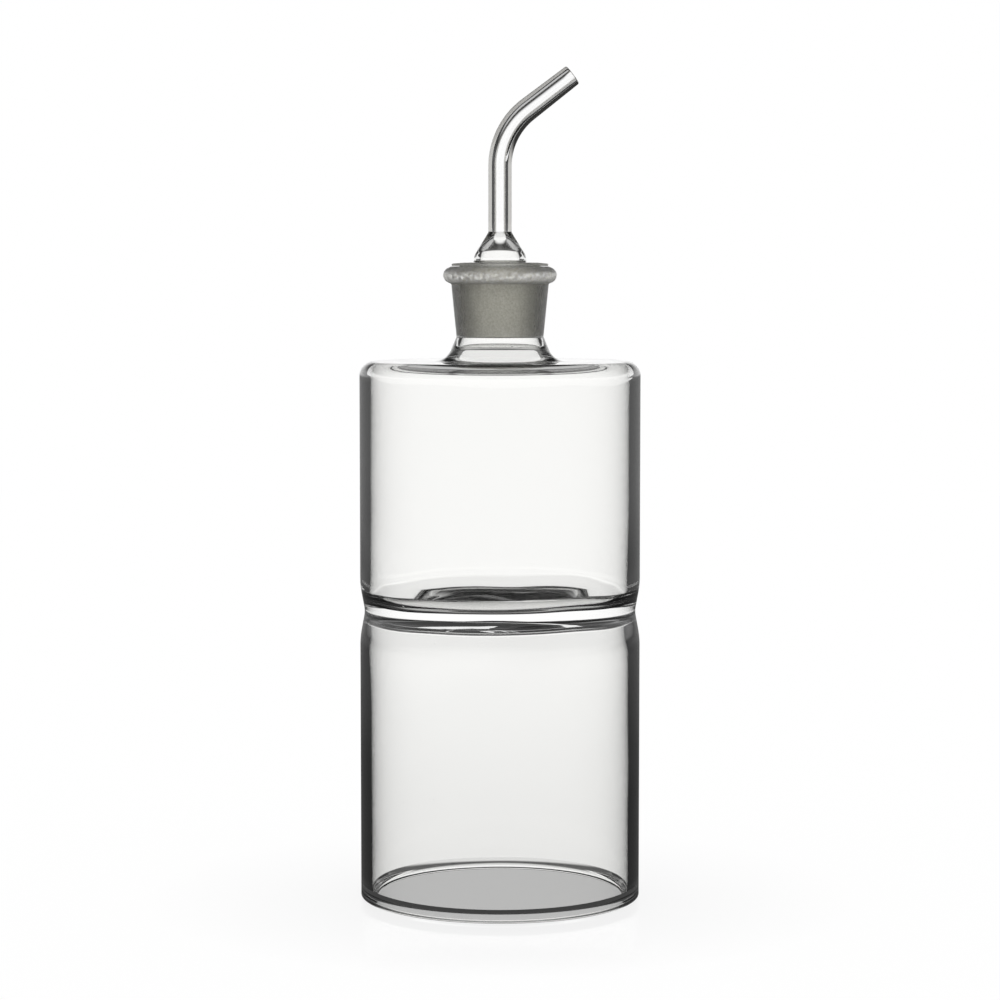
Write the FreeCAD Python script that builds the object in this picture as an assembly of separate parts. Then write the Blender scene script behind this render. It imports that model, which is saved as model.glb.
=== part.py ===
"""Laboratory-glass oil and vinegar bottle: a blown bottle on a hollow skirt, with a ground pouring stopper.

Millimetres, +Z up. The origin is on the bottle's axis, in the plane that its foot stands on.
Each piece is an outline turned about the axis; the stopper ends in a bent spout, which leans towards +X.
"""

import FreeCAD, Part
import math
import os

Vector = FreeCAD.Vector
AXIS_FOOT = Vector(0, 0, 0)
AXIS_UP = Vector(0, 0, 1)

# Body: one width of tube makes the chamber and the open skirt below it
BODY_DIAMETER = 75.0
WALL = 2.9
FLOOR_Z = 78.9
CHAMBER_HEIGHT = 65.1
SHOULDER_WALL = 2.2
SHOULDER_RADIUS = 3.9
FOOT_RING_WIDTH = 0.5

# Floor of the chamber, fused to the wall at the waist
FLOOR_WALL = 3.4
FLOOR_CORNER_RADIUS = 3.0
SKIRT_CORNER_RADIUS = 2.2
WAIST_DEPTH = 1.3
WAIST_HALF_HEIGHT = 7.0
WAIST_ROOT_RADIUS = 6.0
WAIST_EDGE_RADIUS = 20.0

# Button that the blowing leaves in the middle of the floor
BUTTON_DIAMETER = 27.0
BUTTON_TOP_DIAMETER = 13.0
BUTTON_RISE = 1.1
BUTTON_DROP = 0.6
BUTTON_BLEND_RADIUS = 20.0

# Ground joint: mouth and stopper taper by the same loss of diameter for each millimetre down
MOUTH_DIAMETER = 21.5
MOUTH_EDGE_RADIUS = 0.6
GROUND_TAPER = 0.1
GROUND_LENGTH = 18.5
GROUND_EDGE_RADIUS = 1.0
JOINT_CLEARANCE = 0.05

# Neck: flared root, tapered tube round the mouth and rolled lip
NECK_HEIGHT = 25.2
NECK_WALL = 2.25
NECK_TAPER = 0.2
NECK_ROOT_HEIGHT = 6.6
NECK_ROOT_ANGLE = 23.0
NECK_ROOT_BLEND_RADIUS = 1.5
NECK_FOOT_RADIUS = 4.7
NECK_INNER_FOOT_RADIUS = 3.0
LIP_ROLL = 2.15
LIP_HEIGHT = 4.6
LIP_SLOPE = 24.0
LIP_BROW_RADIUS = 1.0
LIP_UNDERCUT_RADIUS = 0.4

# Stopper: hollow ground cone under a thin crowned flange
CONE_LENGTH = 19.0
CONE_WALL = 1.8
CONE_END_RADIUS = 0.7
FLANGE_OVERHANG = 2.1
FLANGE_RIM = 0.6
FLANGE_RIM_RADIUS = 0.25
FLANGE_CROWN = 0.5
FLANGE_ROOF = 1.9
FLANGE_CLEARANCE = 0.15
HOLLOW_RADIUS = 1.4

# Bulb on the flange, drawn in to the spout
BULB_DIAMETER = 13.9
BULB_WALL = 1.75
BULB_SIDE = 1.6
BULB_HEIGHT = 7.8
BULB_EDGE_RADIUS = 3.0
BULB_ROOT_RADIUS = 0.4
BULB_TOP_RADIUS = 0.8
BULB_HOLLOW_SIDE = 3.0
BULB_HOLLOW_HEIGHT = 6.5
BULB_HOLLOW_RADIUS = 1.8
BORE_ENTRY_RADIUS = 0.8

# Spout: a tube that goes straight up, bends once and narrows to a fire-polished tip
SPOUT_DIAMETER = 6.25
SPOUT_BORE = 2.6
SPOUT_TIP_DIAMETER = 5.75
SPOUT_TIP_RADIUS = 0.5
SPOUT_KNEE_HEIGHT = 34.6
SPOUT_TILT = 52.5
SPOUT_BEND_RADIUS = 18.9
SPOUT_REACH = 19.3

# Places that several outlines share
body_radius = BODY_DIAMETER / 2
inner_radius = body_radius - WALL
mouth_radius = MOUTH_DIAMETER / 2
neck_radius = mouth_radius + NECK_WALL
flange_radius = mouth_radius + FLANGE_OVERHANG
shoulder_z = FLOOR_Z + CHAMBER_HEIGHT
lip_z = shoulder_z + NECK_HEIGHT
flange_z = lip_z + FLANGE_CLEARANCE
bulb_z = flange_z + FLANGE_RIM + FLANGE_CROWN
knee_z = bulb_z + SPOUT_KNEE_HEIGHT


def at(radius, z):
    """Point of the half plane that is turned about the axis."""
    return Vector(radius, 0, z)


def direction(start, end):
    d = end - start
    return d * (1.0 / d.Length)


def rounded_face(corners):
    """Face inside the closed outline through (point, radius) corners, each rounded by a tangent arc."""
    turns = []
    for i, (point, radius) in enumerate(corners):
        if radius == 0:
            turns.append((point, None, point))
            continue
        back = direction(point, corners[i - 1][0])
        ahead = direction(point, corners[(i + 1) % len(corners)][0])
        half_angle = back.getAngle(ahead) / 2
        inward = direction(Vector(), back + ahead)
        trim = radius / math.tan(half_angle)
        depth = radius / math.sin(half_angle) - radius
        turns.append((point + back * trim, point + inward * depth, point + ahead * trim))
    edges = []
    for i, (start, middle, end) in enumerate(turns):
        if middle is not None:
            edges.append(Part.Arc(start, middle, end).toShape())
        next_start = turns[(i + 1) % len(turns)][0]
        if (next_start - end).Length > 1e-6:
            edges.append(Part.makeLine(end, next_start))
    return Part.Face(Part.Wire(edges))


def turned(corners):
    """Solid made by a full turn of a rounded outline about the axis."""
    return rounded_face(corners).revolve(AXIS_FOOT, AXIS_UP, 360)


def button(level, rise):
    """Corners of the floor's surface from the axis to the edge of the button that swells from it."""
    return [
        (at(0, level + rise), 0),
        (at(BUTTON_TOP_DIAMETER / 2, level + rise), BUTTON_BLEND_RADIUS),
        (at(BUTTON_DIAMETER / 2, level), BUTTON_BLEND_RADIUS),
    ]


def skirt_and_floor():
    """From the foot, up inside the skirt, through the axis and up the chamber's wall to the shoulder."""
    foot_radius = (WALL - FOOT_RING_WIDTH) / 2
    underside_z = FLOOR_Z - FLOOR_WALL
    return [
        (at(body_radius, 0), foot_radius),
        (at(inner_radius, 0), foot_radius),
        (at(inner_radius, underside_z), SKIRT_CORNER_RADIUS),
        *reversed(button(underside_z, -BUTTON_DROP)),
        *button(FLOOR_Z, BUTTON_RISE),
        (at(inner_radius, FLOOR_Z), FLOOR_CORNER_RADIUS),
        (at(inner_radius, shoulder_z - SHOULDER_WALL), SHOULDER_RADIUS - SHOULDER_WALL),
    ]


def ground_radius(depth):
    """Radius of the ground mouth at a depth below the lip."""
    return mouth_radius - GROUND_TAPER / 2 * depth


def neck_inside():
    """From the shoulder's inner face up the flared root and the ground mouth to the lip."""
    ground_z = lip_z - GROUND_LENGTH
    inner_z = shoulder_z - SHOULDER_WALL
    throat = ground_radius(GROUND_LENGTH)
    flare = (ground_z - inner_z) * math.tan(math.radians(NECK_ROOT_ANGLE))
    return [
        (at(throat + flare, inner_z), NECK_INNER_FOOT_RADIUS),
        (at(throat, ground_z), GROUND_EDGE_RADIUS),
        (at(ground_radius(0), lip_z), MOUTH_EDGE_RADIUS),
    ]


def neck_outside():
    """From the fully rounded lip down the tapered neck and its flared root to the shoulder."""
    lip_radius = neck_radius + LIP_ROLL
    lip_drop = LIP_ROLL * math.tan(math.radians(LIP_SLOPE))
    lip_round = (LIP_HEIGHT / 2 - lip_drop) * math.tan(math.radians(45 + LIP_SLOPE / 2))
    lip_bottom_z = lip_z - LIP_HEIGHT
    root_z = shoulder_z + NECK_ROOT_HEIGHT
    root_radius = neck_radius - NECK_TAPER / 2 * (lip_bottom_z - root_z)
    flare = NECK_ROOT_HEIGHT * math.tan(math.radians(NECK_ROOT_ANGLE))
    return [
        (at(neck_radius, lip_z), LIP_BROW_RADIUS),
        (at(lip_radius, lip_z - lip_drop), lip_round),
        (at(lip_radius, lip_bottom_z + lip_drop), lip_round),
        (at(neck_radius, lip_bottom_z), LIP_UNDERCUT_RADIUS),
        (at(root_radius, root_z), NECK_ROOT_BLEND_RADIUS),
        (at(root_radius + flare, shoulder_z), NECK_FOOT_RADIUS),
    ]


def shoulder_and_waist():
    """Down the outside from the shoulder and through the groove at the floor."""
    waist_z = FLOOR_Z - FLOOR_WALL / 2
    return [
        (at(body_radius, shoulder_z), SHOULDER_RADIUS),
        (at(body_radius, waist_z + WAIST_HALF_HEIGHT), WAIST_EDGE_RADIUS),
        (at(body_radius - WAIST_DEPTH, waist_z), WAIST_ROOT_RADIUS),
        (at(body_radius, waist_z - WAIST_HALF_HEIGHT), WAIST_EDGE_RADIUS),
    ]


def bottle():
    """Blown glass in one piece: skirt, floor, chamber, shoulder, neck and lip."""
    return turned([*skirt_and_floor(), *neck_inside(), *neck_outside(), *shoulder_and_waist()])


def cone_radius(depth):
    """Radius of the stopper's ground cone at a depth below the lip, clear of the mouth."""
    return ground_radius(depth) - JOINT_CLEARANCE


def bend_trim():
    """Length that the bend takes from each of the spout's two straight runs."""
    return SPOUT_BEND_RADIUS * math.tan(math.radians(SPOUT_TILT) / 2)


def stopper_body():
    """Cone, flange, bulb and the spout's upright run, hollow from the cone's open end to the bore."""
    end_z = lip_z - CONE_LENGTH
    roof_z = bulb_z - FLANGE_ROOF
    bend_z = knee_z - bend_trim()
    bulb_radius = BULB_DIAMETER / 2
    hollow_radius = bulb_radius - BULB_WALL
    inside = [
        (at(cone_radius(CONE_LENGTH) - CONE_WALL, end_z), CONE_END_RADIUS),
        (at(cone_radius(lip_z - roof_z) - CONE_WALL, roof_z), HOLLOW_RADIUS),
        (at(hollow_radius, roof_z), BULB_ROOT_RADIUS),
        (at(hollow_radius, bulb_z + BULB_HOLLOW_SIDE), BULB_HOLLOW_RADIUS),
        (at(SPOUT_BORE / 2, bulb_z + BULB_HOLLOW_HEIGHT), BORE_ENTRY_RADIUS),
        (at(SPOUT_BORE / 2, bend_z), 0),
    ]
    outside = [
        (at(SPOUT_DIAMETER / 2, bend_z), 0),
        (at(SPOUT_DIAMETER / 2, bulb_z + BULB_HEIGHT), BULB_TOP_RADIUS),
        (at(bulb_radius, bulb_z + BULB_SIDE), BULB_EDGE_RADIUS),
        (at(bulb_radius, bulb_z), BULB_ROOT_RADIUS),
        (at(flange_radius, flange_z + FLANGE_RIM), FLANGE_RIM_RADIUS),
        (at(flange_radius, flange_z), FLANGE_RIM_RADIUS),
        (at(cone_radius(0), flange_z), FLANGE_RIM_RADIUS),
        (at(cone_radius(CONE_LENGTH), end_z), CONE_END_RADIUS),
    ]
    return turned([*inside, *outside])


def spout_bend():
    """Ring of tube turned about the centre of the bend."""
    start = at(0, knee_z - bend_trim())
    outer = Part.makeCircle(SPOUT_DIAMETER / 2, start, AXIS_UP)
    bore = Part.makeCircle(SPOUT_BORE / 2, start, AXIS_UP)
    ring = Part.Face([Part.Wire(outer), Part.Wire(bore)])
    centre = start + Vector(SPOUT_BEND_RADIUS, 0, 0)
    return ring.revolve(centre, Vector(0, 1, 0), SPOUT_TILT)


def spout_run():
    """Straight run from the bend to the tip, turned upright and then laid along the tilt."""
    tilt = math.radians(SPOUT_TILT)
    length = SPOUT_REACH / math.sin(tilt) - bend_trim()
    upright = turned(
        [
            (at(SPOUT_BORE / 2, 0), 0),
            (at(SPOUT_BORE / 2, length), SPOUT_TIP_RADIUS),
            (at(SPOUT_TIP_DIAMETER / 2, length), SPOUT_TIP_RADIUS),
            (at(SPOUT_DIAMETER / 2, 0), 0),
        ]
    )
    upright.rotate(AXIS_FOOT, Vector(0, 1, 0), SPOUT_TILT)
    upright.translate(at(bend_trim() * math.sin(tilt), knee_z + bend_trim() * math.cos(tilt)))
    return upright


def pourer():
    """Stopper with its spout, one piece of glass, seated in the mouth."""
    return stopper_body().fuse([spout_bend(), spout_run()]).removeSplitter()


def main():
    os.makedirs("parts", exist_ok=True)
    for name, build in (("bottle", bottle), ("pourer", pourer)):
        shape = build()
        solid = shape.Solids[0]
        print(name, len(shape.Solids), "solid, valid", shape.isValid(), round(solid.Volume / 1000, 2), "ml")
        solid.exportStep(f"parts/{name}.step")


main()
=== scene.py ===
"""Oil and vinegar bottle of hand-blown laboratory glass with a ground pouring stopper.

Laid out as an add-on: the panel lists one operator for each piece of glass and one for the stage. Lengths are metres.
"""

import math

import bmesh
import bpy
from bpy.props import FloatProperty, FloatVectorProperty, IntProperty, PointerProperty
from mathutils import Matrix, Vector, noise


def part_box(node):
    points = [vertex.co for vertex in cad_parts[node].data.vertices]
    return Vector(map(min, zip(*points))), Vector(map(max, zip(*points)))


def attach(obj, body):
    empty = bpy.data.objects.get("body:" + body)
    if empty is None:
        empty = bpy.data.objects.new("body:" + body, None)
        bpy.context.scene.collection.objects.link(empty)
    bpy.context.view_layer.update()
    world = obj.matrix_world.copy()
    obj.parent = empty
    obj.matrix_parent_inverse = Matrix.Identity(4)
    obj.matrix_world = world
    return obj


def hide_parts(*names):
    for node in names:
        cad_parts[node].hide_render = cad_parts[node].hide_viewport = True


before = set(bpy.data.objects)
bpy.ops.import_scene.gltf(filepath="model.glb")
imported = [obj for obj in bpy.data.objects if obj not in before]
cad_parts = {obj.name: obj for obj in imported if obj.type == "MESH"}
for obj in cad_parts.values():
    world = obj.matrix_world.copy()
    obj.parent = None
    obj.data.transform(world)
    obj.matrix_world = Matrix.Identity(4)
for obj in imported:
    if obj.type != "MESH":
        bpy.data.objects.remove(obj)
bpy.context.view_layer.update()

bl_info = {
    "name": "Laboratory-glass oil bottle",
    "version": (1, 0, 0),
    "blender": (4, 5, 0),
    "location": "View3D > Sidebar > Glass",
    "description": "Blows the bottle, grinds its stopper and sets the light stage round them",
    "category": "Object",
}

MM = 0.001
BOTTLE_LOW, BOTTLE_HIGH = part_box("bottle")
POURER_LOW, POURER_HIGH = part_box("pourer")


def length(name, description, millimetres):
    """Length property with its default in millimetres."""
    return FloatProperty(name=name, description=description, default=millimetres * MM, unit="LENGTH", precision=5)


def linear(code):
    """Linear colour of an sRGB hex code such as "#f2f4f2"."""
    parts = [int(code[i : i + 2], 16) / 255 for i in (1, 3, 5)]
    return tuple(c / 12.92 if c <= 0.04045 else ((c + 0.055) / 1.055) ** 2.4 for c in parts)


def colour(name, description, code):
    return FloatVectorProperty(
        name=name, description=description, default=linear(code), subtype="COLOR", size=3, min=0, max=1
    )


class GLASS_PG_bottle(bpy.types.PropertyGroup):
    """Sizes of the blown bottle."""

    body_diameter: FloatProperty(
        name="Body diameter",
        description="Outside of the tube that makes the chamber and the skirt",
        default=BOTTLE_HIGH.x - BOTTLE_LOW.x,
        unit="LENGTH",
        precision=5,
    )
    height: FloatProperty(
        name="Height to the lip",
        description="From the foot to the top of the lip",
        default=BOTTLE_HIGH.z,
        unit="LENGTH",
        precision=5,
    )
    wall: length("Wall", "Thickness of the tube's wall", 2.9)
    bead: length("Foot bead", "How far the fire-polished foot thickens inwards", 1.4)
    bead_height: length("Foot bead height", "From the foot to where the bead begins", 3.4)
    bead_full: length("Foot bead full", "From the foot to where the bead is at its thickest", 1.7)
    bead_start: length("Foot bead start", "Radius where the bead begins", 0.5)
    bead_crown: length("Foot bead crown", "Radius at the top of the bead", 0.95)
    foot_edge: length("Foot edge", "Radius of the foot's two edges", 0.65)
    floor_height: length("Floor height", "From the foot to the upper face of the chamber's floor", 80.2)
    floor_wall: length("Floor thickness", "Thickness of the floor between its button and the wall", 5.0)
    floor_corner: length("Floor corner", "Radius where the floor meets the chamber's wall", 3.6)
    skirt_corner: length("Skirt corner", "Radius where the floor meets the skirt's wall", 1.1)
    floor_rise: length("Floor rise", "How much higher the floor meets the chamber's wall", 0.0)
    floor_sink: length("Floor sink", "How much lower the underside meets the skirt's wall", 0.0)
    waist_height: length("Waist height", "From the foot to the bottom of the groove", 77.2)
    waist_depth: length("Waist depth", "Depth of the groove before its bottom is rounded", 1.3)
    waist_half: length("Waist half height", "From the bottom of the groove to its upper or lower edge", 7.0)
    waist_root: length("Waist root", "Radius at the bottom of the groove", 6.0)
    waist_edge: length("Waist edge", "Radius where the groove meets the wall", 20.0)
    button_diameter: length("Button diameter", "Width of the thicker middle of the floor", 60.0)
    button_top: length("Button top", "Width of the flat on the button", 4.0)
    button_rise: length("Button rise", "Height of the button above the floor", 1.0)
    button_drop: length("Button drop", "Depth of the button below the floor", -2.6)
    button_blend: length("Button blend", "Radius where the button runs out into the floor", 15.0)
    neck_height: length("Neck height", "From the shoulder to the top of the lip", 25.2)
    shoulder_wall: length("Shoulder thickness", "Thickness of the flat shoulder", 1.7)
    shoulder_radius: length("Shoulder radius", "Outside radius where the shoulder turns down", 3.9)
    neck_wall: length("Neck wall", "Thickness of the neck at its top, round the mouth", 2.25)
    neck_taper: FloatProperty(name="Neck taper", description="Loss of outside diameter for each unit down", default=0.2)
    root_height: length("Neck root height", "Height of the clear flared root of the neck", 6.6)
    root_angle: FloatProperty(
        name="Neck root angle",
        description="Slope of the flared root from the axis",
        default=math.radians(23.0),
        subtype="ANGLE",
    )
    root_blend: length("Neck root blend", "Radius where the neck begins to flare", 1.5)
    root_step: length("Neck root step", "How much wider the root is inside than the ground mouth", 1.2)
    root_drop: length("Neck root drop", "How far below the ground mouth the root reaches that width", 3.5)
    root_round: length("Neck root round", "Radius inside, under the ground mouth", 3.0)
    shoulder_inner: length("Shoulder inner radius", "Radius inside, where the shoulder turns down", 2.2)
    foot_radius: length("Neck foot radius", "Radius where the flare meets the shoulder", 4.7)
    inner_foot_radius: length("Inner neck foot", "Radius inside, where the neck meets the shoulder", 4.0)
    lip_roll: length("Lip roll", "How far the rolled lip stands out from the neck", 2.15)
    lip_height: length("Lip height", "Height of the rolled lip", 4.6)
    lip_slope: FloatProperty(
        name="Lip slope",
        description="Slope of the lip above and below its round edge",
        default=math.radians(24.0),
        subtype="ANGLE",
    )
    lip_brow: length("Lip brow", "Radius where the flat top of the lip starts to fall", 1.0)
    lip_undercut: length("Lip undercut", "Radius in the corner under the lip", 0.4)


class GLASS_PG_joint(bpy.types.PropertyGroup):
    """Sizes that the ground mouth and the stopper share."""

    mouth: length("Mouth", "Inside of the ground mouth at the lip", 21.5)
    mouth_edge: length("Mouth edge", "Radius of the mouth's rim", 0.6)
    taper: FloatProperty(name="Ground taper", description="Loss of diameter for each unit down", default=0.1)
    ground_length: length("Ground length", "Depth of the ground mouth", 18.5)
    ground_edge: length("Ground edge", "Radius at the lower end of the ground mouth", 1.0)
    clearance: length("Joint clearance", "Gap between the mouth and the cone", 0.05)


class GLASS_PG_pourer(bpy.types.PropertyGroup):
    """Sizes of the stopper and its spout."""

    cone_length: length("Cone length", "Depth of the hollow cone below the lip", 19.0)
    cone_wall: length("Cone wall", "Thickness of the cone's wall", 1.8)
    cone_end: length("Cone end", "Radius of the cone's fire-polished end", 0.7)
    flange_overhang: length("Flange overhang", "How far the flange reaches past the mouth", 2.1)
    flange_rim: length("Flange rim", "Thickness of the flange at its rim", 0.6)
    flange_edge: length("Flange edge", "Radius of the flange's edges", 0.25)
    flange_crown: length("Flange crown", "Rise of the flange from its rim to the bulb", 0.5)
    flange_roof: length("Flange roof", "Depth of glass over the cone's hollow", 1.9)
    flange_gap: length("Flange gap", "Gap between the lip and the flange", 0.15)
    hollow_corner: length("Hollow corner", "Radius at the top of the cone's hollow", 1.4)
    bulb_diameter: length("Bulb diameter", "Outside of the bulb", 13.9)
    bulb_wall: length("Bulb wall", "Thickness of the bulb's wall", 1.75)
    bulb_side: length("Bulb side", "Height of the bulb's upright side", 1.6)
    bulb_height: length("Bulb height", "From the flange to where the bulb meets the spout", 7.8)
    bulb_edge: length("Bulb edge", "Radius where the side turns in", 3.0)
    bulb_root: length("Bulb root", "Radius where the bulb meets the flange", 0.4)
    bulb_top: length("Bulb top", "Radius where the bulb meets the spout", 0.8)
    hollow_side: length("Hollow side", "Height of the bulb's hollow at full width", 2.0)
    hollow_height: length("Hollow height", "From the flange to the top of the bulb's hollow", 5.8)
    hollow_edge: length("Hollow edge", "Radius where the bulb's hollow turns in", 3.0)
    bore_entry: length("Bore entry", "Radius where the hollow meets the bore", 2.4)
    spout_diameter: length("Spout diameter", "Outside of the spout's tube", 6.25)
    spout_bore: length("Spout bore", "Inside of the spout's tube", 2.95)
    tip_diameter: length("Tip diameter", "Outside of the spout at its tip", 5.75)
    tip_edge: length("Tip edge", "Radius of the fire-polished tip", 0.5)
    knee_height: length("Knee height", "From the flange to where the spout's two runs would meet", 34.6)
    tilt: FloatProperty(
        name="Spout tilt",
        description="Turn of the spout from upright",
        default=math.radians(52.5),
        subtype="ANGLE",
    )
    bend_radius: length("Bend radius", "Radius of the bend along the middle of the tube", 18.9)
    reach: length("Reach", "From the axis to the middle of the tip", 19.3)


class GLASS_PG_making(bpy.types.PropertyGroup):
    """How finely the pieces are made, and how uneven hand work leaves them."""

    body_steps: IntProperty(name="Body steps", description="Facets round the bottle", default=180, min=24)
    pourer_steps: IntProperty(name="Pourer steps", description="Facets round the stopper", default=144, min=24)
    arc_step: FloatProperty(
        name="Arc step",
        description="Largest turn between two points of a rounded corner",
        default=math.radians(4.5),
        subtype="ANGLE",
    )
    longest_run: length("Longest run", "Longest straight edge left in an outline", 3.0)
    wave: length("Wave", "Height of the slow waves that the flame leaves in the floor", 0.4)
    wave_length: length("Wave length", "Distance between the slow waves", 18.0)
    wall_share: FloatProperty(name="Wall share", description="Share of the waves left in the drawn wall", default=0.1)
    floor_tilt: length("Floor tilt", "How much higher the floor sits on one side", 0.3)


# ---------------------------------------------------------------- shaping


def corner(radius, z, blend=0.0):
    """Corner of an outline: its distance from the axis, its height and the radius that rounds it."""
    return Vector((radius, 0, z)), blend


def draw_outline(bm, corners, making):
    """Open chain of edges through the corners, each rounded, with no run longer than the making allows."""
    verts = [bm.verts.new(point) for point, _ in corners]
    for first, second in zip(verts, verts[1:]):
        bm.edges.new((first, second))
    for i in range(1, len(corners) - 1):
        point, blend = corners[i]
        if blend == 0:
            continue
        back = corners[i - 1][0] - point
        ahead = corners[i + 1][0] - point
        opening = back.angle(ahead)
        bmesh.ops.bevel(
            bm,
            geom=[verts[i]],
            offset=blend / math.tan(opening / 2),
            offset_type="OFFSET",
            segments=max(3, math.ceil((math.pi - opening) / making.arc_step)),
            profile=0.5,
            material=-1,
            affect="VERTICES",
            clamp_overlap=False,
        )
    bmesh.ops.remove_doubles(bm, verts=bm.verts, dist=1e-6)
    for edge in list(bm.edges):
        cuts = math.ceil(edge.calc_length() / making.longest_run) - 1
        if cuts > 0:
            bmesh.ops.subdivide_edges(bm, edges=[edge], cuts=cuts)


def turn(bm, steps):
    """Turns the drawn outline once about the axis and closes it there."""
    bmesh.ops.spin(
        bm,
        geom=bm.verts[:] + bm.edges[:],
        cent=(0, 0, 0),
        axis=(0, 0, 1),
        angle=2 * math.pi,
        steps=steps,
        use_merge=True,
        use_duplicate=False,
    )
    bmesh.ops.remove_doubles(bm, verts=bm.verts, dist=1e-6)


def finish_piece(bm, name, materials, node):
    """Mesh object for one piece of glass, riding on the part and standing for its CAD node."""
    bmesh.ops.recalc_face_normals(bm, faces=bm.faces)
    for face in bm.faces:
        face.smooth = True
    mesh = bpy.data.meshes.new(name)
    bm.to_mesh(mesh)
    bm.free()
    piece = bpy.data.objects.new(name, mesh)
    bpy.context.collection.objects.link(piece)
    for material in materials:
        mesh.materials.append(material)
    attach(piece, "root")
    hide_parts(node)
    return piece


# ---------------------------------------------------------------- bottle


def ground_radius(joint, depth):
    """Radius of the ground mouth at a depth below the lip."""
    return (joint.mouth - joint.taper * depth) / 2


def bottle_corners(b, joint):
    """Outline of the bottle from the underside of its floor, round the foot, the outside and the lip, to its floor."""
    outer = b.body_diameter / 2
    inner = outer - b.wall
    underside = b.floor_height - b.floor_wall
    waist = b.waist_height
    shoulder = b.height - b.neck_height
    shoulder_inside = shoulder - b.shoulder_wall
    root = shoulder + b.root_height
    neck = joint.mouth / 2 + b.neck_wall
    lip = neck + b.lip_roll
    lip_bottom = b.height - b.lip_height
    lip_drop = b.lip_roll * math.tan(b.lip_slope)
    lip_round = (b.lip_height / 2 - lip_drop) * math.tan(math.pi / 4 + b.lip_slope / 2)
    root_radius = neck - b.neck_taper / 2 * (lip_bottom - root)
    slope = math.tan(b.root_angle)
    ground = b.height - joint.ground_length
    throat = ground_radius(joint, joint.ground_length)
    return [
        corner(0, underside - b.button_drop),
        corner(b.button_top / 2, underside - b.button_drop, b.button_blend),
        corner(b.button_diameter / 2, underside, b.button_blend),
        corner(inner, underside - b.floor_sink, b.skirt_corner),
        corner(inner, b.bead_height, b.bead_start),
        corner(inner - b.bead, b.bead_full, b.bead_crown),
        corner(inner - b.bead, 0, b.foot_edge),
        corner(outer, 0, b.foot_edge),
        corner(outer, waist - b.waist_half, b.waist_edge),
        corner(outer - b.waist_depth, waist, b.waist_root),
        corner(outer, waist + b.waist_half, b.waist_edge),
        corner(outer, shoulder, b.shoulder_radius),
        corner(root_radius + b.root_height * slope, shoulder, b.foot_radius),
        corner(root_radius, root, b.root_blend),
        corner(neck, lip_bottom, b.lip_undercut),
        corner(lip, lip_bottom + lip_drop, lip_round),
        corner(lip, b.height - lip_drop, lip_round),
        corner(neck, b.height, b.lip_brow),
        corner(ground_radius(joint, 0), b.height, joint.mouth_edge),
        corner(throat, ground, joint.ground_edge),
        corner(throat + b.root_step, ground - b.root_drop, b.root_round),
        corner(throat + b.root_step, shoulder_inside, b.inner_foot_radius),
        corner(inner, shoulder_inside, b.shoulder_inner),
        corner(inner, b.floor_height + b.floor_rise, b.floor_corner),
        corner(b.button_diameter / 2, b.floor_height, b.button_blend),
        corner(b.button_top / 2, b.floor_height + b.button_rise, b.button_blend),
        corner(0, b.floor_height + b.button_rise),
    ]


def leave_waves(bm, b, joint, making):
    """Moves the inside of the glass by the slow waves of hand work, most of all at the floor, and tilts the floor."""
    inner = b.body_diameter / 2 - b.wall
    reach = 4 * b.waist_half
    for vert in bm.verts:
        radius = math.hypot(vert.co.x, vert.co.y)
        inside = radius < inner + b.wall / 4 and b.bead_height < vert.co.z < b.height - b.neck_height
        if not inside:
            continue
        near = max(0.0, 1 - abs(vert.co.z - b.floor_height) / reach)
        near = near * near * (3 - 2 * near)
        share = making.wall_share + (1 - making.wall_share) * near
        foot_fade = min(1.0, (vert.co.z - b.bead_height) / reach)
        wave = noise.noise_vector(vert.co / making.wave_length) * making.wave * share * foot_fade
        vert.co.z += wave.z + making.floor_tilt * near * vert.co.x / inner
        if radius > inner / 2:
            vert.co.xy *= 1 + wave.x / radius


def blow_bottle(scene):
    b, joint, making = scene.glass_bottle, scene.glass_joint, scene.glass_making
    bm = bmesh.new()
    draw_outline(bm, bottle_corners(b, joint), making)
    turn(bm, making.body_steps)
    leave_waves(bm, b, joint, making)
    ground_bottom = b.height - joint.ground_length
    for face in bm.faces:
        middle = face.calc_center_median()
        radius = math.hypot(middle.x, middle.y)
        if middle.z > ground_bottom and radius < joint.mouth / 2 + joint.mouth_edge:
            face.material_index = 1
        elif middle.z > b.height - b.lip_height:
            face.material_index = 2
    glasses = [clear_glass(scene), ground_glass(scene), matt_lip_painted_highlight(scene)]
    return finish_piece(bm, "blown_bottle", glasses, "bottle")


# ---------------------------------------------------------------- stopper and spout


def stopper_corners(p, joint, lip, bend):
    """Outline of the stopper from the bore at the bend, down the hollow, round the cone and up to the bend."""
    flange = lip + p.flange_gap
    bulb = flange + p.flange_rim + p.flange_crown
    roof = bulb - p.flange_roof
    end = lip - p.cone_length
    rim = joint.mouth / 2 + p.flange_overhang

    def cone(depth):
        return ground_radius(joint, depth) - joint.clearance

    return [
        corner(p.spout_bore / 2, bend),
        corner(p.spout_bore / 2, bulb + p.hollow_height, p.bore_entry),
        corner(p.bulb_diameter / 2 - p.bulb_wall, bulb + p.hollow_side, p.hollow_edge),
        corner(p.bulb_diameter / 2 - p.bulb_wall, roof, p.bulb_root),
        corner(cone(lip - roof) - p.cone_wall, roof, p.hollow_corner),
        corner(cone(p.cone_length) - p.cone_wall, end, p.cone_end),
        corner(cone(p.cone_length), end, p.cone_end),
        corner(cone(0), flange, p.flange_edge),
        corner(rim, flange, p.flange_edge),
        corner(rim, flange + p.flange_rim, p.flange_edge),
        corner(p.bulb_diameter / 2, bulb, p.bulb_root),
        corner(p.bulb_diameter / 2, bulb + p.bulb_side, p.bulb_edge),
        corner(p.spout_diameter / 2, bulb + p.bulb_height, p.bulb_top),
        corner(p.spout_diameter / 2, bend),
    ]


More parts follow.
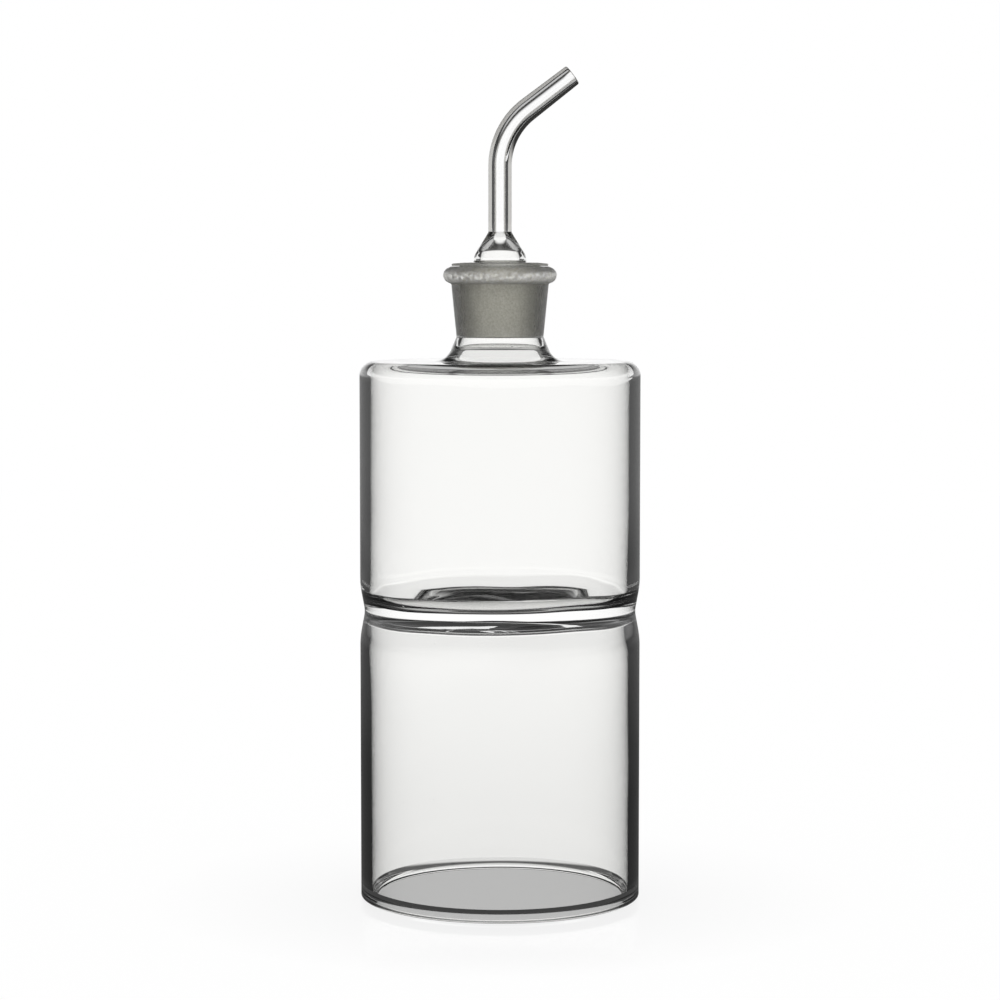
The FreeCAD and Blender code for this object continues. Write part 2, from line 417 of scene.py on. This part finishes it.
def bend_spout(bm, p, knee):
    """Draws the open ends of the upright tube round the bend, along the last run and over the tip."""
    trim = p.bend_radius * math.tan(p.tilt / 2)
    bend_turns = 30
    run_steps = 6
    rings = [e for e in bm.edges if e.is_boundary]
    spun = bmesh.ops.spin(
        bm,
        geom=rings + list({v for e in rings for v in e.verts}),
        cent=(p.bend_radius, 0, knee - trim),
        axis=(0, 1, 0),
        angle=p.tilt,
        steps=bend_turns,
        use_merge=False,
        use_duplicate=False,
    )
    ends = [e for e in spun["geom_last"] if isinstance(e, bmesh.types.BMEdge)]
    along = Vector((math.sin(p.tilt), 0, math.cos(p.tilt)))
    run = p.reach / math.sin(p.tilt) - trim
    middle = Vector((0, 0, knee)) + along * trim
    narrowing = (p.tip_diameter / p.spout_diameter) ** (1 / run_steps)
    for _ in range(run_steps):
        made = bmesh.ops.extrude_edge_only(bm, edges=ends)["geom"]
        ends = [e for e in made if isinstance(e, bmesh.types.BMEdge)]
        verts = [v for v in made if isinstance(v, bmesh.types.BMVert)]
        bmesh.ops.translate(bm, vec=along * (run / run_steps), verts=verts)
        middle = middle + along * (run / run_steps)
        outside = [v for v in verts if (v.co - middle).length > (p.spout_bore + p.tip_diameter) / 4]
        bmesh.ops.scale(bm, vec=(narrowing,) * 3, space=Matrix.Translation(-middle), verts=outside)
    bmesh.ops.recalc_face_normals(bm, faces=bm.faces)
    bmesh.ops.bridge_loops(bm, edges=ends)
    bmesh.ops.bevel(
        bm,
        geom=ends,
        offset=p.tip_edge,
        offset_type="OFFSET",
        segments=5,
        profile=0.5,
        material=-1,
        affect="EDGES",
        clamp_overlap=True,
    )


def grind_pourer(scene):
    p, joint, making = scene.glass_pourer, scene.glass_joint, scene.glass_making
    lip = scene.glass_bottle.height
    bulb = lip + p.flange_gap + p.flange_rim + p.flange_crown
    knee = bulb + p.knee_height
    bend = knee - p.bend_radius * math.tan(p.tilt / 2)
    bm = bmesh.new()
    draw_outline(bm, stopper_corners(p, joint, lip, bend), making)
    turn(bm, making.pourer_steps)
    bend_spout(bm, p, knee)
    flange_top = bulb + p.bulb_root / 2
    for face in bm.faces:
        middle = face.calc_center_median()
        radius = math.hypot(middle.x, middle.y)
        skin = ground_radius(joint, lip - middle.z) - joint.clearance - p.cone_wall / 2
        if middle.z < flange_top and radius > max(skin, p.bulb_diameter / 2):
            face.material_index = 1
        elif middle.z > bulb + p.bulb_height:
            face.material_index = 2
    glasses = [clear_glass(scene), ground_glass(scene), drawn_tube(scene)]
    return finish_piece(bm, "ground_pourer", glasses, "pourer")


# ---------------------------------------------------------------- glass


def add(tree, kind, inputs=None, **settings):
    """Adds a node: settings are its properties, and inputs are values or sockets by name or number."""
    made = tree.nodes.new(kind)
    for key, value in settings.items():
        setattr(made, key, value)
    for key, value in (inputs or {}).items():
        socket = made.inputs[key]
        if isinstance(value, bpy.types.NodeSocket):
            tree.links.new(value, socket)
        else:
            socket.default_value = value
    return made


def new_material(name):
    material = bpy.data.materials.get(name)
    if material:
        return material, None
    material = bpy.data.materials.new(name)
    material.use_nodes = True
    material.node_tree.nodes.clear()
    return material, material.node_tree


def clear_glass(scene):
    """Borosilicate tube, flame-worked and fire-polished: clear, hardly tinted, with slow waves in its skin."""
    material, tree = new_material("borosilicate_fire_polished")
    if tree is None:
        return material
    place = add(tree, "ShaderNodeTexCoord").outputs["Object"]
    waves = add(tree, "ShaderNodeTexNoise", {"Vector": place, "Scale": 1 / (16 * MM), "Detail": 0.0})
    seeds = add(tree, "ShaderNodeTexVoronoi", {"Vector": place, "Scale": 1 / (13 * MM), "Randomness": 1.0})
    seed = add(tree, "ShaderNodeMapRange", {"Value": seeds.outputs["Distance"], 1: 0.012, 2: 0.03, 3: 1.0, 4: 0.0})
    skin = add(tree, "ShaderNodeBump", {"Height": waves.outputs[0], "Strength": 1.0, "Distance": 0.03 * MM})
    # the seeds are under 0.1 mm; they are drawn at 0.3 mm so that they show
    skin = add(
        tree,
        "ShaderNodeBump",
        {"Height": seed.outputs[0], "Strength": 1.0, "Distance": 0.1 * MM, "Normal": skin.outputs[0]},
    )
    glass = add(
        tree,
        "ShaderNodeBsdfPrincipled",
        {
            "Base Color": (*linear("#fffffe"), 1),
            "Roughness": 0.0,
            "IOR": 1.473,
            "Transmission Weight": 1.0,
            "Normal": skin.outputs[0],
        },
    )
    add(tree, "ShaderNodeOutputMaterial", {"Surface": glass.outputs[0]})
    return material


def drawn_tube(scene):
    """Thick drawn tube: its sides bend what lies behind so far round that they look darker than the middle. That
    darkening is painted shade: the base colour turns grey where the surface turns from the view.
    """
    material, tree = new_material("borosilicate_drawn_tube_painted_edge_shade")
    if tree is None:
        return material
    # painted shade: the base colour goes from white to grey as the surface turns from the view, so the tube's sides
    # look darker
    facing = add(tree, "ShaderNodeLayerWeight", {"Blend": 0.5}).outputs["Facing"]
    tone = add(tree, "ShaderNodeValToRGB", {"Fac": facing})
    tone.color_ramp.elements[0].position = 0.22
    tone.color_ramp.elements[0].color = (*linear("#ffffff"), 1)
    tone.color_ramp.elements[1].position = 0.3
    tone.color_ramp.elements[1].color = (*linear("#8a8883"), 1)
    glass = add(
        tree,
        "ShaderNodeBsdfPrincipled",
        {
            "Base Color": tone.outputs["Color"],
            "Roughness": 0.0,
            "IOR": 1.473,
            "Transmission Weight": 1.0,
        },
    )
    add(tree, "ShaderNodeOutputMaterial", {"Surface": glass.outputs[0]})
    return material


def frosted(tree, grit_size, dark, light, roughness, bump_height):
    """Frosted glass: the grit's tiny facets catch more or less light, and scatter what passes."""
    place = add(tree, "ShaderNodeTexCoord")
    grit = add(
        tree,
        "ShaderNodeTexNoise",
        {"Vector": place.outputs["Object"], "Scale": 1 / grit_size, "Detail": 2.0, "Roughness": 0.7},
    )
    tone = add(tree, "ShaderNodeValToRGB", {"Fac": grit.outputs[0]})
    tone.color_ramp.elements[0].position = 0.35
    tone.color_ramp.elements[0].color = (*dark, 1)
    tone.color_ramp.elements[1].position = 0.65
    tone.color_ramp.elements[1].color = (*light, 1)
    bump = add(tree, "ShaderNodeBump", {"Height": grit.outputs[0], "Strength": 1.0, "Distance": bump_height})
    glass = add(
        tree,
        "ShaderNodeBsdfPrincipled",
        {
            "Base Color": tone.outputs["Color"],
            "Roughness": roughness,
            "IOR": 1.473,
            "Transmission Weight": 1.0,
            "Normal": bump.outputs[0],
        },
    )
    add(tree, "ShaderNodeOutputMaterial", {"Surface": glass.outputs[0]})
    return tone, bump, glass


def ground_glass(scene):
    """Borosilicate ground with 220 grit: an even matt, a little warm, that scatters light through the joint."""
    material, tree = new_material("borosilicate_ground")
    if tree:
        # the grit itself is under 0.1 mm; it is drawn at 0.5 mm so that it shows
        frosted(tree, 0.5 * MM, linear("#d9d8d0"), linear("#fffef9"), 0.6, 0.06 * MM)
    return material


def matt_lip_painted_highlight(scene):
    """Borosilicate lip, rolled and then matted. Its lower slope is made more matt and whiter in flecks: partly the
    matting, partly a painted highlight that the lip catches there.
    """
    material, tree = new_material("borosilicate_matted_painted_highlight")
    if tree is None:
        return material
    b = scene.glass_bottle
    # the flecks are under 0.2 mm; they are drawn at 0.7 mm so that they show
    tone, bump, glass = frosted(tree, 0.7 * MM, linear("#d8d6cc"), linear("#ffffff"), 0.35, 0.12 * MM)
    place = add(tree, "ShaderNodeTexCoord").outputs["Object"]
    height = add(tree, "ShaderNodeSeparateXYZ", {0: place}).outputs["Z"]
    # painted highlight: round the lower slope the glass turns part white and matt in flecks, for the light that the lip
    # catches there
    middle = b.height - 0.62 * b.lip_height
    from_slope = add(tree, "ShaderNodeMath", {0: height, 1: middle}, operation="SUBTRACT")
    off_slope = add(tree, "ShaderNodeMath", {0: from_slope.outputs[0]}, operation="ABSOLUTE")
    slope = add(tree, "ShaderNodeMapRange", {"Value": off_slope.outputs[0], 1: 0.3 * MM, 2: 1.7 * MM, 3: 1.0, 4: 0.0})
    flecks = add(tree, "ShaderNodeTexNoise", {"Vector": place, "Scale": 1 / (0.9 * MM), "Detail": 2.0})
    painted_glint_flecks = add(tree, "ShaderNodeMapRange", {"Value": flecks.outputs[0], 1: 0.35, 2: 0.65, 3: 0.1, 4: 0.8})
    matt = add(tree, "ShaderNodeMath", {0: painted_glint_flecks.outputs[0], 1: slope.outputs[0]}, operation="MULTIPLY")
    clear = add(tree, "ShaderNodeMath", {0: 0.9, 1: matt.outputs[0]}, operation="SUBTRACT")
    tree.links.new(clear.outputs[0], glass.inputs["Transmission Weight"])
    return material


# ---------------------------------------------------------------- stage


class GLASS_PG_stage(bpy.types.PropertyGroup):
    """Floor, light field and camera."""

    camera_distance: length("Camera distance", "From the bottle's axis to the camera, level", 780.9)
    camera_height: length("Camera height", "Camera above the floor", 167.2)
    camera_tilt: FloatProperty(
        name="Camera tilt", description="How far the camera looks down", default=math.radians(4.42), subtype="ANGLE"
    )
    lens: FloatProperty(name="Lens", description="Focal length in millimetres on a 36 mm frame", default=105.26)
    floor_radius: length("Floor radius", "Radius of the pale floor", 1500.0)
    # the plate is the floor that the glass sees; its grey is painted shade under the bottle
    plate_radius: length("Plate radius", "Radius of the grey plate under the foot", 41.0)
    plate_painted_shade_level: FloatProperty(name="Plate level", description="Brightness of the plate through the glass", default=0.55)
    screen_level: FloatProperty(name="Screen level", description="Brightness of the white screen", default=1.08)
    screen_low: FloatProperty(name="Screen foot", description="Brightness low on the screen", default=0.92)
    screen_top: FloatProperty(name="Screen top", description="Sine of the height where the screen ends", default=0.12)
    ceiling_level: FloatProperty(name="Ceiling", description="Brightness above the screen", default=0.05)
    room_level: FloatProperty(name="Room level", description="Brightness of the dark room", default=0.05)
    room_low: FloatProperty(name="Room foot", description="Brightness low in the dark room", default=0.01)
    sheen_level: FloatProperty(name="Sheen level", description="Brightness that the outside mirrors", default=0.33)
    sheen_low: FloatProperty(name="Sheen foot", description="Brightness that the outside mirrors low down", default=0.1)
    cellar_level: FloatProperty(name="Cellar level", description="Brightness straight below", default=0.5)
    shade_level: FloatProperty(name="Shade level", description="Brightness of the shaded ring at the foot", default=0.05)
    band_level: FloatProperty(name="Band level", description="Brightness of the low band of light", default=0.9)
    band_radius: length("Band radius", "Radius of the low band of light", 700.0)
    band_bottom: length("Band bottom", "Height of the band's lower edge", 122.0)
    band_top: length("Band top", "Height of the band's upper edge", 178.0)
    lamp_level: FloatProperty(name="Lamp level", description="Brightness of the soft lamp overhead", default=0.5)


def light_field(scene):
    """White to the camera and through the glass, dark to what the glass mirrors, even light to the floor."""
    world = bpy.data.worlds.new("studio_field")
    scene.world = world
    world.use_nodes = True
    tree = world.node_tree
    tree.nodes.clear()
    s = scene.glass_stage
    place = add(tree, "ShaderNodeTexCoord")
    height = add(tree, "ShaderNodeSeparateXYZ", {0: place.outputs["Generated"]}).outputs["Z"]
    path = add(tree, "ShaderNodeLightPath")
    screen = add(tree, "ShaderNodeMapRange", {"Value": height, 1: -0.2, 2: -0.12, 3: s.screen_low, 4: s.screen_level})
    ceiling = add(
        tree,
        "ShaderNodeMapRange",
        {"Value": height, 1: s.screen_top, 2: s.screen_top + 0.2, 3: 1.0, 4: s.ceiling_level},
        interpolation_type="SMOOTHSTEP",
    )
    through = add(tree, "ShaderNodeMath", {0: screen.outputs[0], 1: ceiling.outputs[0]}, operation="MULTIPLY")
    room = add(tree, "ShaderNodeMapRange", {"Value": height, 1: -0.18, 2: -0.06, 3: s.room_low, 4: s.room_level})
    lamp = add(
        tree,
        "ShaderNodeMapRange",
        {"Value": height, 1: 0.3, 2: 0.6, 3: 0.0, 4: s.lamp_level},
        interpolation_type="SMOOTHSTEP",
    )
    cellar = add(
        tree,
        "ShaderNodeMapRange",
        {"Value": height, 1: -0.75, 2: -0.5, 3: s.cellar_level, 4: 0.0},
        interpolation_type="SMOOTHSTEP",
    )
    lower = add(tree, "ShaderNodeMath", {0: room.outputs[0], 1: cellar.outputs[0]}, operation="ADD")
    inner = add(tree, "ShaderNodeMath", {0: lower.outputs[0], 1: lamp.outputs[0]}, operation="ADD")
    entered = add(tree, "ShaderNodeMath", {0: path.outputs["Transmission Depth"], 1: 0.5}, operation="GREATER_THAN")
    low = add(tree, "ShaderNodeMapRange", {"Value": height, 1: -0.16, 2: -0.07, 3: s.sheen_low, 4: s.sheen_level})
    rising = add(
        tree, "ShaderNodeMapRange", {"Value": height, 1: -0.03, 2: 0.01, 3: low.outputs[0], 4: s.screen_level}
    )
    sheen = add(tree, "ShaderNodeMath", {0: rising.outputs[0], 1: ceiling.outputs[0]}, operation="MULTIPLY")
    mirrored = add(
        tree,
        "ShaderNodeMix",
        {"Factor": entered.outputs[0], "A": sheen.outputs[0], "B": inner.outputs[0]},
        data_type="FLOAT",
    )
    turned_back = add(tree, "ShaderNodeMath", {0: path.outputs["Glossy Depth"], 1: 0.5}, operation="GREATER_THAN")
    field = add(
        tree,
        "ShaderNodeMix",
        {"Factor": turned_back.outputs[0], "A": through.outputs[0], "B": mirrored.outputs["Result"]},
        data_type="FLOAT",
    )
    bent = add(
        tree,
        "ShaderNodeMath",
        {0: path.outputs["Is Glossy Ray"], 1: path.outputs["Is Transmission Ray"]},
        operation="MAXIMUM",
    )
    level = add(tree, "ShaderNodeMix", {"Factor": bent.outputs[0], "A": 1.0, "B": field.outputs[0]}, data_type="FLOAT")
    back = add(tree, "ShaderNodeBackground", {"Color": (1, 1, 1, 1), "Strength": level.outputs[0]})
    add(tree, "ShaderNodeOutputWorld", {"Surface": back.outputs[0]})


def hang_band(scene):
    """Low ring of light that only rays mirrored inside the glass meet: it lights the floor of the chamber."""
    s = scene.glass_stage
    bm = bmesh.new()
    bmesh.ops.create_circle(bm, radius=s.band_radius, segments=96)
    bmesh.ops.translate(bm, vec=(0, 0, s.band_bottom), verts=bm.verts)
    made = bmesh.ops.extrude_edge_only(bm, edges=bm.edges[:])["geom"]
    raised = [v for v in made if isinstance(v, bmesh.types.BMVert)]
    bmesh.ops.translate(bm, vec=(0, 0, s.band_top - s.band_bottom), verts=raised)
    mesh = bpy.data.meshes.new("light_band")
    bm.to_mesh(mesh)
    bm.free()
    band = bpy.data.objects.new("light_band", mesh)
    bpy.context.collection.objects.link(band)
    material, tree = new_material("lit_band")
    path = add(tree, "ShaderNodeLightPath")
    turned_back = add(tree, "ShaderNodeMath", {0: path.outputs["Glossy Depth"], 1: 0.5}, operation="GREATER_THAN")
    entered = add(tree, "ShaderNodeMath", {0: path.outputs["Transmission Depth"], 1: 0.5}, operation="GREATER_THAN")
    meets = add(tree, "ShaderNodeMath", {0: turned_back.outputs[0], 1: entered.outputs[0]}, operation="MULTIPLY")
    clear = add(tree, "ShaderNodeBsdfTransparent")
    glow = add(tree, "ShaderNodeEmission", {"Color": (1, 1, 1, 1), "Strength": s.band_level})
    mix = add(tree, "ShaderNodeMixShader", {0: meets.outputs[0], 1: clear.outputs[0], 2: glow.outputs[0]})
    add(tree, "ShaderNodeOutputMaterial", {"Surface": mix.outputs[0]})
    material.cycles.emission_sampling = "NONE"
    mesh.materials.append(material)


def lay_floor(scene):
    """Pale floor: white to the camera with the bottle's shadow. To the glass, a grey plate under the foot in painted
    shade, with a painted band of light under the foot's wall and a painted shaded ring round it; rays mirrored inside
    the glass see the floor in painted shade.
    """
    s = scene.glass_stage
    bm = bmesh.new()
    bmesh.ops.create_circle(bm, cap_ends=True, radius=s.floor_radius, segments=96)
    mesh = bpy.data.meshes.new("floor")
    bm.to_mesh(mesh)
    bm.free()
    floor = bpy.data.objects.new("floor", mesh)
    bpy.context.collection.objects.link(floor)
    material, tree = new_material("pale_floor")
    place = add(tree, "ShaderNodeTexCoord")
    reach = add(tree, "ShaderNodeVectorMath", {0: place.outputs["Object"]}, operation="LENGTH")
    path = add(tree, "ShaderNodeLightPath")
    bent = add(
        tree,
        "ShaderNodeMath",
        {0: path.outputs["Is Glossy Ray"], 1: path.outputs["Is Transmission Ray"]},
        operation="MAXIMUM",
    )
    turned_back = add(tree, "ShaderNodeMath", {0: path.outputs["Glossy Depth"], 1: 0.5}, operation="GREATER_THAN")
    outer = scene.glass_bottle.body_diameter / 2
    inner = outer - scene.glass_bottle.wall
    shade = add(
        tree,
        "ShaderNodeValToRGB",
        {"Fac": add(tree, "ShaderNodeMapRange", {"Value": reach.outputs["Value"], 2: s.plate_radius}).outputs[0]},
    )
    ring = shade.color_ramp.elements
    # painted shade and light by distance from the axis: the plate's grey is painted shade under the bottle, the 0.9
    # under the foot's wall a painted band of light, and shade_level just outside the foot a painted shaded ring
    for place, level in (
        (inner - 1.5 * MM, s.plate_painted_shade_level),
        (inner, 0.9),
        (outer - 0.2 * MM, 0.9),
        (outer + 0.4 * MM, s.shade_level),
        (outer + 1.2 * MM, s.shade_level),
        (outer + 2.0 * MM, 0.8),
    ):
        ring.new(place / s.plate_radius).color = (level, level, level, 1)
    ring.remove(ring[0])
    ring.remove(ring[-1])
    # painted shade: rays mirrored inside the glass see the whole floor at the shaded ring's level
    dimmed = add(
        tree,
        "ShaderNodeMix",
        {"Factor": turned_back.outputs[0], "A": shade.outputs["Color"], "B": s.shade_level},
        data_type="FLOAT",
    )
    seen = add(tree, "ShaderNodeMix", {"Factor": bent.outputs[0], "A": 1.0, "B": dimmed.outputs[0]}, data_type="FLOAT")
    view = add(
        tree, "ShaderNodeMath", {0: bent.outputs[0], 1: path.outputs["Is Camera Ray"]}, operation="MAXIMUM"
    )
    share = add(tree, "ShaderNodeMath", {0: view.outputs[0], 1: 0.92}, operation="MULTIPLY")
    matte = add(tree, "ShaderNodeBsdfDiffuse", {"Color": (1, 1, 1, 1)})
    glow = add(tree, "ShaderNodeEmission", {"Color": (1, 1, 1, 1), "Strength": seen.outputs[0]})
    ground = add(tree, "ShaderNodeMixShader", {0: share.outputs[0], 1: matte.outputs[0], 2: glow.outputs[0]})
    polish = add(
        tree,
        "ShaderNodeMapRange",
        {"Value": reach.outputs["Value"], 1: 37 * MM, 2: 95 * MM, 3: 0.12, 4: 0.0},
    )
    polish = add(
        tree, "ShaderNodeMath", {0: polish.outputs[0], 1: path.outputs["Is Camera Ray"]}, operation="MULTIPLY"
    )
    mirror = add(tree, "ShaderNodeBsdfGlossy", {"Color": (1, 1, 1, 1), "Roughness": 0.05})
    top = add(tree, "ShaderNodeMixShader", {0: polish.outputs[0], 1: ground.outputs[0], 2: mirror.outputs[0]})
    beyond = add(tree, "ShaderNodeMath", {0: reach.outputs["Value"], 1: s.plate_radius}, operation="GREATER_THAN")
    open_share = add(tree, "ShaderNodeMath", {0: beyond.outputs[0], 1: bent.outputs[0]}, operation="MULTIPLY")
    clear = add(tree, "ShaderNodeBsdfTransparent")
    cut = add(tree, "ShaderNodeMixShader", {0: open_share.outputs[0], 1: top.outputs[0], 2: clear.outputs[0]})
    add(tree, "ShaderNodeOutputMaterial", {"Surface": cut.outputs[0]})
    mesh.materials.append(material)


def place_camera(scene):
    s = scene.glass_stage
    data = bpy.data.cameras.new("camera")
    data.lens = s.lens
    data.sensor_width = 36
    data.clip_start = 0.01
    data.clip_end = 10
    camera = bpy.data.objects.new("camera", data)
    camera.location = (0, -s.camera_distance, s.camera_height)
    camera.rotation_euler = (math.pi / 2 - s.camera_tilt, 0, 0)
    bpy.context.collection.objects.link(camera)
    scene.camera = camera


# ---------------------------------------------------------------- operators and panel


class GLASS_OT_bottle(bpy.types.Operator):
    """Blow the bottle: skirt, floor, chamber, shoulder, neck and lip in one piece"""

    bl_idname = "glass.bottle"
    bl_label = "Blow the bottle"

    def execute(self, context):
        blow_bottle(context.scene)
        return {"FINISHED"}


class GLASS_OT_pourer(bpy.types.Operator):
    """Make the ground stopper with its bulb and bent spout"""

    bl_idname = "glass.pourer"
    bl_label = "Grind the pourer"

    def execute(self, context):
        grind_pourer(context.scene)
        return {"FINISHED"}


class GLASS_OT_stage(bpy.types.Operator):
    """Lay the floor, hang the light panels and place the camera"""

    bl_idname = "glass.stage"
    bl_label = "Set the stage"

    def execute(self, context):
        light_field(context.scene)
        lay_floor(context.scene)
        hang_band(context.scene)
        place_camera(context.scene)
        context.scene.view_settings.view_transform = "Standard"
        return {"FINISHED"}


class GLASS_PT_panel(bpy.types.Panel):
    """Lists the making steps in order"""

    bl_idname = "GLASS_PT_panel"
    bl_label = "Oil bottle"
    bl_space_type = "VIEW_3D"
    bl_region_type = "UI"
    bl_category = "Glass"

    def draw(self, context):
        for operator in OPERATORS:
            self.layout.operator(operator.bl_idname)


GROUPS = {
    "glass_bottle": GLASS_PG_bottle,
    "glass_joint": GLASS_PG_joint,
    "glass_pourer": GLASS_PG_pourer,
    "glass_making": GLASS_PG_making,
    "glass_stage": GLASS_PG_stage,
}
OPERATORS = (GLASS_OT_bottle, GLASS_OT_pourer, GLASS_OT_stage)


def register():
    for cls in (*GROUPS.values(), *OPERATORS, GLASS_PT_panel):
        bpy.utils.register_class(cls)
    for name, group in GROUPS.items():
        setattr(bpy.types.Scene, name, PointerProperty(type=group))


def unregister():
    for name in GROUPS:
        delattr(bpy.types.Scene, name)
    for cls in (GLASS_PT_panel, *OPERATORS, *GROUPS.values()):
        bpy.utils.unregister_class(cls)


def main():
    register()
    bpy.ops.glass.bottle()
    bpy.ops.glass.pourer()
    bpy.ops.glass.stage()


if __name__ == "__main__":
    main()
